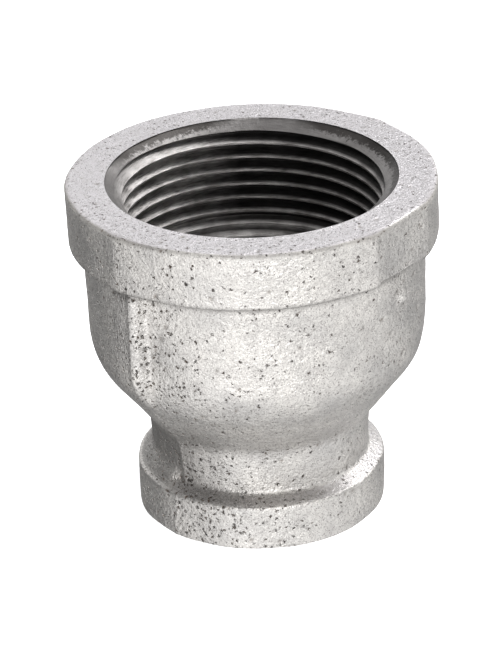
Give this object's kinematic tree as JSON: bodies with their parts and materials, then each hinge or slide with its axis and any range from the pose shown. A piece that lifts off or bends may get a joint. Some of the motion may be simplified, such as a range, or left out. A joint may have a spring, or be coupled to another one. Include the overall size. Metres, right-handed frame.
{
  "type": "concentric reducer",
  "caption": "Banded reducing coupling: a wide tapped socket on top, a round bell and neck, and a narrow tapped socket below, on one straight bore.",
  "frame": {"origin": "centre of the small end's face, which lies on the ground", "axes": "+Z along the bore from the small end to the large end; +X and -X through the two ribs on the mould's joint; +Y square to them"},
  "size_m": [0.0558, 0.0558, 0.0523],
  "materials": {
    "galvanised_iron": "hot-dip zinc over sand-cast iron, satin, finely pitted",
    "tapped_iron_large": "bare tapped iron, satin, cutting oil left in the roots",
    "tapped_iron_small": "bare tapped iron, satin, cutting oil left in the roots"
  },
  "bodies": {
    "root": {"casting": "galvanised_iron", "large_thread": "tapped_iron_large", "small_thread": "tapped_iron_small"}
  },
  "joints": []
}
